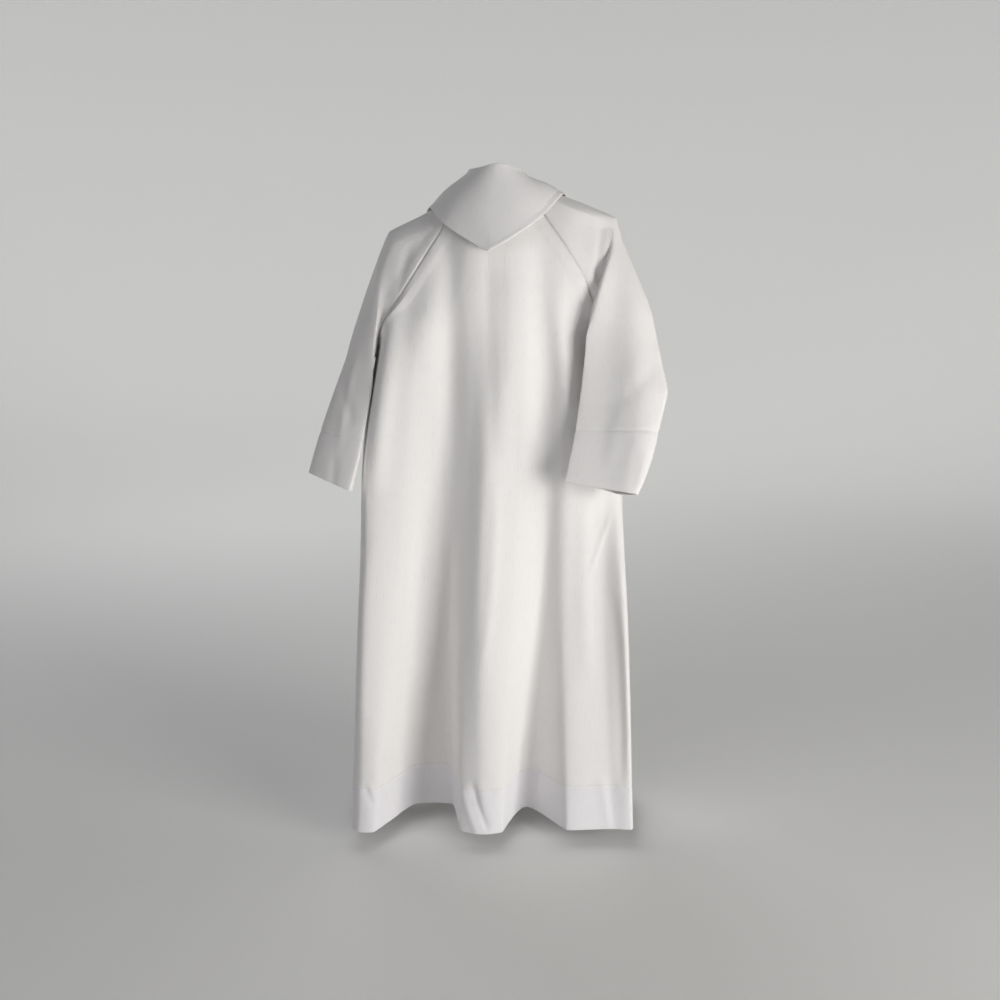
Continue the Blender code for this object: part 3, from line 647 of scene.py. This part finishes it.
FRONT_STEPS = 16
FRONT_ARCH = 2.5
FRONT_SEAM_FADE = 0.0
NECK_DROP = 0.150           # depth of the V below the shoulders
FRONT_LINES = (
    BACK_LINES[0],
    ("left front turn", (-0.190, 0.046), (-0.212, 0.054), (-0.232, 0.064), (-0.253, 0.070), 0.0),
    ("outer ridge", (-0.166, 0.076), (-0.182, 0.084), (-0.200, 0.098), (-0.222, 0.116), 0.0),
    ("outer valley", (-0.126, 0.084), (-0.138, 0.083), (-0.148, 0.074), (-0.162, 0.056), 0.0),
    ("left front ridge", (-0.078, 0.094), (-0.088, 0.100), (-0.096, 0.115), (-0.096, 0.135), 0.0),
    ("front valley", (-0.020, 0.091), (-0.026, 0.089), (-0.030, 0.080), (-0.018, 0.062), 0.0),
    ("right front ridge", (0.042, 0.095), (0.042, 0.103), (0.046, 0.118), (0.060, 0.140), 0.1),
    ("right front valley", (0.100, 0.085), (0.104, 0.084), (0.116, 0.075), (0.128, 0.054), 0.0),
    ("right outer ridge", (0.148, 0.076), (0.160, 0.086), (0.178, 0.106), (0.202, 0.126), 0.0),
    ("right front turn", (0.177, 0.044), (0.193, 0.052), (0.209, 0.068), (0.235, 0.086), 0.0),
    BACK_LINES[-1],
)
FRONT_SEAMS = (
    BACK_SEAMS[0],
    (0.18, (-0.191, 0.045, -0.200), (0.176, 0.042, -0.196), 0.050),
    (0.36, (-0.170, 0.062, -0.164), (0.159, 0.060, -0.158), 0.034),
    (0.56, (-0.140, 0.069, -0.118), (0.136, 0.068, -0.112), 0.026),
    (0.76, (-0.110, 0.062, -0.072), (0.105, 0.062, -0.062), 0.030),
    (0.90, (-0.088, 0.048, -0.036), (0.081, 0.048, -0.024), 0.040),
    (1.00, (-0.070, 0.034, -0.006), (0.066, 0.034, 0.004), 0.050),
)
FRONT_CREASES = (
    ("below the V", (-0.006, -0.170), (-0.014, -0.330), 0.004, 0.008, -0.0022),
    ("left neck pull", (-0.040, -0.120), (-0.110, -0.260), 0.006, 0.011, 0.0022),
    ("right neck pull", (0.038, -0.120), (0.104, -0.270), -0.005, 0.010, 0.002),
    ("left armhole pull", (-0.150, -0.200), (-0.110, -0.400), -0.007, 0.015, -0.0028),
    ("right armhole pull", (0.142, -0.190), (0.100, -0.380), 0.008, 0.014, -0.0026),
    ("left waist roll", (-0.100, -0.450), (-0.108, -0.780), -0.006, 0.012, 0.0026),
    ("right waist roll", (0.060, -0.470), (0.070, -0.820), 0.006, 0.011, 0.0024),
    ("left skirt crease", (-0.190, -0.600), (-0.160, -0.700), 0.002, 0.004, 0.0018),
    ("middle skirt roll", (-0.024, -0.600), (-0.018, -0.950), 0.005, 0.014, -0.003),
    ("right skirt roll", (0.160, -0.560), (0.176, -0.920), -0.005, 0.012, 0.0026),
)

front_surface = body_panel(FRONT_LINES, FRONT_SEAMS, FRONT_STEPS, NECK_DROP, FRONT_ARCH,
                           FRONT_SEAM_FADE)
finish_panel("front", front_surface, FRONT_CREASES, 1.9)

# ------------------------------------------------------------------
# Sleeves. Each is one piece of the same poplin from neck to wrist, closed by a seam below
# the arm, with a hem of 86 mm turned up inside as a cuff. Both hang half empty: the left
# one soft and flattened, the right one pressed along a sharp edge and swung to the back.

CUFF_DEPTH = 0.086
# The cuffs and collar show a share of the hem's painted cooler white, a painted tint of cooler
# light.
CUFF_PAINTED_COOL_SHARE = 0.15            # how much of the deep hem's cooler white cuffs and collar show
CUFF_PUCKER = 0.0003
SLEEVE_TURNINGS = 0.009
RIGHT_DITCH = 0.0026        # the right sleeve's seams are pulled in deeper
LEFT_ARM = 0.236            # from underarm to cuff edge, along the middle
RIGHT_ARM = 0.279
ARM_STEP = 0.0045
SLEEVE_STEPS = 22           # columns between two lines

# Lines down each sleeve: reach (0 on the neck, 1 at the underarm, 2 at the cuff), the back
# crease, the outer and the front line, and how sharply the outer one bends there.
LINE_TURNS = (0.0, 1.0, 0.0)
LEFT_SLEEVE = (
    (0.00, (-0.071, -0.018, 0.005), (-0.0735, 0.000, 0.011), (-0.072, 0.018, 0.004), 0.0),
    (0.24, (-0.120, -0.037, -0.041), (-0.126, 0.000, -0.017), (-0.124, 0.035, -0.034), 0.0),
    (0.44, (-0.170, -0.038, -0.066), (-0.181, -0.002, -0.0445), (-0.170, 0.040, -0.068), 0.7),
    (0.64, (-0.192, -0.047, -0.124), (-0.208, -0.004, -0.108), (-0.195, 0.050, -0.120), 0.0),
    (0.82, (-0.199, -0.060, -0.184), (-0.231, -0.010, -0.172), (-0.208, 0.060, -0.176), 0.0),
    (1.00, (-0.203, -0.068, -0.234), (-0.250, -0.018, -0.232), (-0.222, 0.064, -0.234), 0.0),
    (1.05, (-0.204, -0.070, -0.248), (-0.253, -0.020, -0.244), (-0.225, 0.062, -0.247), 0.0),
    (1.25, (-0.208, -0.077, -0.298), (-0.2685, -0.032, -0.290), (-0.241, 0.050, -0.300), 0.0),
    (1.50, (-0.217, -0.093, -0.354), (-0.287, -0.050, -0.345), (-0.260, 0.028, -0.360), 0.0),
    (1.75, (-0.228, -0.109, -0.410), (-0.3025, -0.066, -0.396), (-0.274, 0.002, -0.412), 0.0),
    (2.00, (-0.242, -0.127, -0.4635), (-0.3145, -0.080, -0.4405), (-0.285, -0.022, -0.460), 0.0),
)
RIGHT_SLEEVE = (
    (0.00, (0.068, -0.016, 0.019), (0.073, 0.000, 0.0255), (0.070, 0.018, 0.016), 0.0),
    (0.24, (0.128, -0.034, -0.010), (0.136, 0.000, 0.0055), (0.128, 0.034, -0.011), 0.0),
    (0.44, (0.184, -0.022, -0.030), (0.199, -0.004, -0.0215), (0.184, 0.032, -0.044), 0.9),
    (0.64, (0.191, -0.039, -0.068), (0.2115, -0.020, -0.069), (0.202, 0.044, -0.086), 0.0),
    (0.82, (0.175, -0.070, -0.120), (0.2265, -0.044, -0.122), (0.222, 0.044, -0.140), 0.0),
    (1.00, (0.154, -0.089, -0.188), (0.2505, -0.070, -0.186), (0.244, 0.032, -0.206), 0.0),
    (1.05, (0.149, -0.092, -0.200), (0.2533, -0.074, -0.199), (0.246, 0.028, -0.218), 0.0),
    (1.25, (0.143, -0.099, -0.250), (0.2625, -0.094, -0.246), (0.249, 0.006, -0.260), 0.0),
    (1.50, (0.136, -0.110, -0.312), (0.2735, -0.120, -0.303), (0.246, -0.022, -0.320), 0.7),
    (1.75, (0.125, -0.126, -0.380), (0.2475, -0.145, -0.384), (0.226, -0.065, -0.392), 0.3),
    (2.00, (0.1104, -0.141, -0.447), (0.2205, -0.162, -0.463), (0.198, -0.108, -0.472), 0.0),
)
LEFT_SHARP = (0.0, 0.35, 0.1, 0.2, 0.0)      # seam, crease, outer, front, seam
RIGHT_SHARP = (0.0, 0.75, 0.3, 0.1, 0.0)

# Inner line of each sleeve below the underarm, where the raglan seams have met.
UNDER_REACH = 1.05
LEFT_INNER = (
    (1.05, (-0.2135, -0.002, -0.2535)),
    (1.25, (-0.224, -0.012, -0.304)),
    (1.50, (-0.238, -0.032, -0.366)),
    (1.75, (-0.242, -0.054, -0.420)),
    (2.00, (-0.249, -0.068, -0.472)),
)
RIGHT_INNER = (
    (1.05, (0.201, -0.006, -0.247)),
    (1.25, (0.197, -0.032, -0.276)),
    (1.50, (0.180, -0.054, -0.328)),
    (1.75, (0.165, -0.084, -0.390)),
    (2.00, (0.144, -0.116, -0.454)),
)

# Creases of each sleeve as seen from behind and from in front, in the back's columns.
LEFT_BEHIND = (
    ("shoulder fold", (-0.190, -0.068), (-0.206, -0.200), 0.002, 0.006, 0.0022),
    ("seam fold", (-0.140, -0.060), (-0.158, -0.150), 0.004, 0.008, -0.0022),
    ("elbow roll", (-0.262, -0.270), (-0.238, -0.360), 0.004, 0.009, -0.0022),
    ("arm fold", (-0.232, -0.240), (-0.262, -0.400), 0.003, 0.007, 0.0018),
    ("cuff fold", (-0.268, -0.410), (-0.270, -0.485), 0.001, 0.006, -0.0016),
)
LEFT_BEFORE = (
    ("shoulder fold", (-0.170, -0.060), (-0.200, -0.210), -0.004, 0.009, 0.002),
    ("elbow roll", (-0.255, -0.260), (-0.240, -0.370), -0.003, 0.009, -0.0022),
    ("cuff fold", (-0.276, -0.400), (-0.280, -0.470), 0.001, 0.006, 0.0014),
)
RIGHT_BEHIND = (
    ("seam valley", (0.175, -0.035), (0.160, -0.130), 0.002, 0.006, -0.0036),
    ("yoke rise", (0.176, -0.040), (0.160, -0.200), 0.002, 0.023, 0.007),
    ("arm ridge", (0.216, -0.060), (0.226, -0.500), -0.006, 0.033, 0.011),
    ("elbow sag", (0.262, -0.250), (0.190, -0.330), -0.006, 0.012, -0.002),
    ("forearm roll", (0.210, -0.300), (0.184, -0.425), 0.004, 0.011, 0.002),
    ("cuff roll", (0.226, -0.395), (0.216, -0.480), 0.001, 0.007, -0.0016),
)
RIGHT_BEFORE = (
    ("shoulder fold", (0.166, -0.050), (0.208, -0.190), 0.004, 0.010, 0.0022),
    ("elbow roll", (0.262, -0.220), (0.230, -0.330), 0.004, 0.010, -0.0024),
    ("cuff fold", (0.200, -0.400), (0.184, -0.460), 0.001, 0.007, 0.0016),
)


def sleeve_surface(stations, under_line, arm_length, sharp, back_seam, front_seam):
    """Middle surface of a sleeve, neck to cuff (rows), and each row's distance from the
    cuff's stitching.

    A row runs from the back seam over the crease, the outer line and the front line to
    the front seam. Past the underarm the two ends meet on the inner line, as a tube.
    """
    reach, *lines, turn = columns_of(stations)
    under_reach, inner_places = columns_of(under_line)
    stitched = 2.0 - CUFF_DEPTH / arm_length
    near = stitched + STITCH_ROWS / arm_length
    step = ARM_STEP / arm_length
    arm = np.arange(1.0, near[0] - step / 2, step)[1:]
    cuff = np.linspace(near[-1], 2.0, round((2.0 - near[-1]) / step) + 1)[1:]
    at = np.concatenate([1.0 - RISES[::-1], arm, near, cuff])
    outer_lines = np.stack([smooth_through(reach, line, at, share * turn)
                            for line, share in zip(lines, LINE_TURNS)], axis=1)
    inner = smooth_through(np.append(1.0, under_reach), np.vstack([back_seam[:1], inner_places]),
                           at[YOKE_STEPS + 1:])
    first = np.concatenate([back_seam[::-1], inner])[:, None, :]
    last = np.concatenate([front_seam[::-1], inner])[:, None, :]
    rows = np.concatenate([first, outer_lines, last], axis=1)
    joined = smooth_step(at, 1.0, UNDER_REACH)
    surface = carry_across(rows, seam_ends(rows.shape[1] - 1, SLEEVE_STEPS), sharp, joined)
    return surface, (stitched - at) * arm_length


def sleeve_piece(side, surface, stitched, behind, before, ditch, seed):
    """A sleeve in poplin with its turned-up cuff and the cuff's stitching. Each table of
    creases acts where the cloth faces its own way, back or front."""
    tube = YOKE_STEPS
    normals = surface_normals(surface, tube)
    edge = edge_lengths(surface)
    clear = smooth_step(edge, 0.0, 0.012)
    relief = seam_relief(surface, SLEEVE_TURNINGS, ditch, seed)
    relief += stitch_relief(surface, stitched, CUFF_PUCKER, seed) * smooth_step(edge, 0.0, 0.003)
    for creases, facing in ((behind, -normals[..., 1]), (before, normals[..., 1])):
        relief += crease_relief(surface, creases) * smooth_step(facing, 0.0, 0.35) * clear
    outer = surface + normals * relief[..., None]
    piece, seam = hemmed_poplin(side + "_sleeve_cloth", side + "_cuff_stitching", outer, stitched,
                                CUFF_PAINTED_COOL_SHARE, tube)
    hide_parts(side + "_sleeve")


back_left, back_right, _ = seam_lines(BACK_SEAMS)
front_left, front_right, _ = seam_lines(FRONT_SEAMS)
left_surface, left_stitched = sleeve_surface(
    LEFT_SLEEVE, LEFT_INNER, LEFT_ARM, LEFT_SHARP, back_left, front_left)
sleeve_piece("left", left_surface, left_stitched, LEFT_BEHIND, LEFT_BEFORE, SEAM_DITCH, 0.4)
right_surface, right_stitched = sleeve_surface(
    RIGHT_SLEEVE, RIGHT_INNER, RIGHT_ARM, RIGHT_SHARP, back_right, front_right)
sleeve_piece("right", right_surface[:, ::-1], right_stitched, RIGHT_BEHIND, RIGHT_BEFORE,
             RIGHT_DITCH, 1.3)

# ------------------------------------------------------------------
# Hood collar. A doubled strip of the poplin sewn round the neck, which stands up, rolls over
# and falls outwards; at the back it is cut to a point, like a hood laid flat. Its free edge is
# turned in and topstitched 10 mm from the fold.

COLLAR_WALL = 0.0016        # two layers with the turnings between them
COLLAR_STEPS = 230          # columns from front end to front end
COLLAR_SPAN = 13            # rows between two of its lines
TOPSTITCH = 0.010           # from the free edge
TOPSTITCH_GROOVE = 0.0006
EDGE_SWELL = 0.0004         # turnings inside the free edge

# Share of the way round the neckline, the collar's roll and free edge there, and how
# sharply the free edge turns.
COLLAR = (
    (0.00, (-0.0035, 0.095, -0.128), (-0.018, 0.101, -0.152), 0.0),
    (0.14, (-0.031, 0.084, -0.046), (-0.086, 0.096, -0.082), 0.0),
    (0.26, (-0.049, 0.034, 0.030), (-0.120, 0.047, -0.016), 0.0),
    (0.335, (-0.046, -0.006, 0.0555), (-0.110, -0.014, -0.006), 0.3),
    (0.372, (-0.040, -0.022, 0.056), (-0.0985, -0.043, -0.0205), 0.0),
    (0.41, (-0.030, -0.037, 0.056), (-0.085, -0.065, -0.035), 0.0),
    (0.50, (0.001, -0.050, 0.0605), (-0.0145, -0.107, -0.079), 0.8),
    (0.59, (0.030, -0.037, 0.0565), (0.066, -0.085, -0.029), 0.0),
    (0.628, (0.041, -0.022, 0.0545), (0.090, -0.046, -0.0045), 0.0),
    (0.665, (0.046, -0.006, 0.052), (0.1095, -0.008, 0.017), 0.3),
    (0.74, (0.049, 0.036, 0.030), (0.118, 0.047, -0.002), 0.0),
    (0.86, (0.031, 0.084, -0.044), (0.084, 0.096, -0.078), 0.0),
    (1.00, (0.0035, 0.095, -0.128), (0.018, 0.101, -0.152), 0.0),
)
ROLL_RADIUS = 0.006         # half thickness of the collar's rolled top
ROLL_HEIGHT = 1.2           # height of the roll, in radii
ROLL_CLIMB = 0.036          # a stand lower than this has a smaller roll
FALL_BELLY = 0.004          # how far the fall stands out between roll and edge
COLLAR_CLEAR = 0.0008       # from the neckline to the collar's foot
COLLAR_END = 0.006          # share of the neckline left free at each front end


def collar_surface(neckline):
    """Middle surface of the collar, neck edge to free edge (rows), left front to right
    front (columns).

    Each column climbs from the neck edge to the roll, turns over it and falls outwards to
    the free edge. The neck edge follows the neckline by its length. Corners of the free
    edge are sharp as seen from behind, and soft in depth and in the fall above them.
    """
    lengths = lengths_across(neckline)
    at = np.linspace(COLLAR_END, 1.0 - COLLAR_END, COLLAR_STEPS + 1)
    around, top, brim, sharp = columns_of(COLLAR)
    neck = read_along(lengths / lengths[-1], neckline, at)
    roll = smooth_through(around, top, at)
    edge = smooth_through(around, brim, at, sharp)
    soft_edge = smooth_through(around, brim, at)
    edge[:, 1] = soft_edge[:, 1]

    outwards = unit((edge - roll) * (1.0, 1.0, 0.0))
    up = np.array([0.0, 0.0, 1.0])
    climb = np.linalg.norm(roll - neck, axis=1)[:, None]
    radius = ROLL_RADIUS * np.minimum(1.0, climb / ROLL_CLIMB)
    inside = roll - outwards * radius - up * radius * ROLL_HEIGHT
    outside = roll + outwards * radius - up * radius * ROLL_HEIGHT
    away = unit(np.cross(edge - roll, np.gradient(roll, axis=0)))
    foot = neck + unit(inside - neck) * COLLAR_CLEAR
    stand = (foot + inside) / 2
    fall = (outside + soft_edge) / 2 + away * FALL_BELLY
    lines = np.stack([foot, stand, inside, roll, outside, fall, edge], axis=1)
    count = lines.shape[1] - 1
    along = np.linspace(0, count, count * COLLAR_SPAN + 1)
    return np.swapaxes(carry_across(lines, along, np.zeros(count + 1)), 0, 1)


def point_before_end(surface, distance):
    """For each column, the point at that length before its last row, and the length
    from every point to the last row."""
    before = lengths_across(surface[::-1].swapaxes(0, 1)).T[::-1]
    row = np.clip((before > distance).sum(axis=0) - 1, 0, len(surface) - 2)
    columns = np.arange(surface.shape[1])
    share = (before[row, columns] - distance) / (before[row, columns] - before[row + 1, columns])
    share = np.clip(share, 0.0, 1.0)[:, None]
    return surface[row, columns] * (1 - share) + surface[row + 1, columns] * share, before


front_middle = front_surface.shape[1] // 2
neckline = np.concatenate([
    front_surface[-1, front_middle::-1], left_surface[0, -2::-1], back_surface[-1, 1:],
    right_surface[0, 1:], front_surface[-1, -2:front_middle - 1:-1]])
collar_middle = collar_surface(neckline)[:, ::-1]
_, from_edge = point_before_end(collar_middle, TOPSTITCH)
collar_relief = (EDGE_SWELL * (1 - smooth_step(from_edge, 0.004, 0.007))
                 - TOPSTITCH_GROOVE * np.exp(-((from_edge - TOPSTITCH) / 0.0018) ** 2))
collar_middle = collar_middle + surface_normals(collar_middle) * collar_relief[..., None]
# The collar gets the same small share of the painted cooler white.
collar_tint = np.full(len(collar_middle), CUFF_PAINTED_COOL_SHARE)
collar = cloth_shell("collar_cloth", collar_middle, COLLAR_WALL, collar_tint)
collar_up = surface_normals(collar_middle)
collar_line, _ = point_before_end(collar_middle + collar_up * COLLAR_WALL / 2, TOPSTITCH)
collar_seam = stitching("collar_stitching", collar_line[3:-3], collar_up[-12, 3:-3])
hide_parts("hood_collar")

# ------------------------------------------------------------------
# Studio: a plain pale floor that rises softly all round and glows a little behind, as a lit
# backdrop does. A large soft light stands to the right in front, at the height of the robe,
# and weaker ones from the left and from behind keep the shaded folds open.

FLOOR_Z = HEM_Z - 0.030
FLOOR_PALE = "#EDEDEB"
FLOOR_FLAT = 4.0            # radius of the level middle
FLOOR_RIM = 9.0
FLOOR_TOP = 11.0            # radius where its rise would end, past the rim
FLOOR_RISE = 6.0            # and the height there
FLOOR_TURNS = 96            # points round each ring
GLOW_FRONT = (-0.5, 0.06)   # place from front to back, and strength of the glow there
GLOW_BEHIND = (5.0, 0.46)


def studio_floor():
    """A round floor: its height is a soft S of the distance from its middle."""
    radius = np.concatenate([np.linspace(0.02, FLOOR_FLAT, 12),
                             np.linspace(FLOOR_FLAT + 0.4, FLOOR_RIM, 24)])[:, None]
    turn = np.radians(np.arange(FLOOR_TURNS) * 360 / FLOOR_TURNS)[None, :]
    height = FLOOR_Z + FLOOR_RISE * smooth_step(radius, FLOOR_FLAT, FLOOR_TOP) + 0 * turn
    points = np.stack([radius * np.cos(turn), radius * np.sin(turn), height], axis=-1)
    numbers = np.arange(height.size).reshape(height.shape)
    numbers = np.concatenate([numbers, numbers[:, :1]], axis=1)
    mesh = bpy.data.meshes.new("studio_floor")
    mesh.from_pydata(points.reshape(-1, 3).tolist(), [],
                     grid_quads(numbers)[:, ::-1].tolist() + [numbers[0, :-1].tolist()])
    mesh.shade_smooth()
    floor = bpy.data.objects.new("studio_floor", mesh)
    scene.collection.objects.link(floor)
    material, tree, shader = new_material("pale_painted_floor", {
        "Base Color": srgb(FLOOR_PALE), "Emission Color": srgb(FLOOR_PALE),
        "Roughness": 0.9, "Specular IOR Level": 0.2})
    place = add_node(tree, "ShaderNodeTexCoord").outputs["Object"]
    depth = add_node(tree, "ShaderNodeSeparateXYZ", inputs={"Vector": place}).outputs["Y"]
    glow = add_node(tree, "ShaderNodeMapRange", {"interpolation_type": "SMOOTHSTEP"}, {
        "Value": depth, "From Min": GLOW_FRONT[0], "From Max": GLOW_BEHIND[0],
        "To Min": GLOW_FRONT[1], "To Max": GLOW_BEHIND[1]})
    tree.links.new(glow.outputs["Result"], shader.inputs["Emission Strength"])
    mesh.materials.append(material)


LIGHT_AIM = (0, 0, -0.5)    # middle of the robe
LIGHTS = (                  # place, width, watts and colour of each square light
    ("key_light", (2.3, -2.1, -0.4), 1.7, 71.0, "#FFFDFA"),
    ("fill_light", (-1.5, -2.4, 1.5), 2.4, 17.0, "#FAFAFE"),
    ("back_light", (-1.2, 2.6, 1.6), 2.0, 22.0, "#FAFAFF"),
)
studio_floor()
for name, place, size, watts, colour in LIGHTS:
    lamp = bpy.data.lights.new(name, "AREA")
    lamp.energy = watts
    lamp.size = size
    lamp.color = srgb(colour)[:3]
    light = bpy.data.objects.new(name, lamp)
    light.location = place
    light.rotation_euler = (Vector(LIGHT_AIM) - Vector(place)).to_track_quat("-Z", "Y").to_euler()
    scene.collection.objects.link(light)

AIR_PALE = "#E6E8EA"
AIR_GLOW = 0.05
world = bpy.data.worlds.new("studio_air")
world.use_nodes = True
air = world.node_tree.nodes["Background"]
air.inputs["Color"].default_value = srgb(AIR_PALE)
air.inputs["Strength"].default_value = AIR_GLOW
scene.world = world
scene.view_settings.view_transform = "Standard"

CAMERA_PLACE = (0.005, -2.0, -0.1518)
CAMERA_PITCH = 9.926        # degrees that it looks down
CAMERA_LENS = 41.77         # millimetres, on a sensor of 36
camera = bpy.data.objects.new("camera", bpy.data.cameras.new("camera"))
camera.location = CAMERA_PLACE
camera.rotation_euler = (math.radians(90 - CAMERA_PITCH), 0, 0)
camera.data.lens = CAMERA_LENS
camera.data.sensor_width = 36
scene.collection.objects.link(camera)
scene.camera = camera
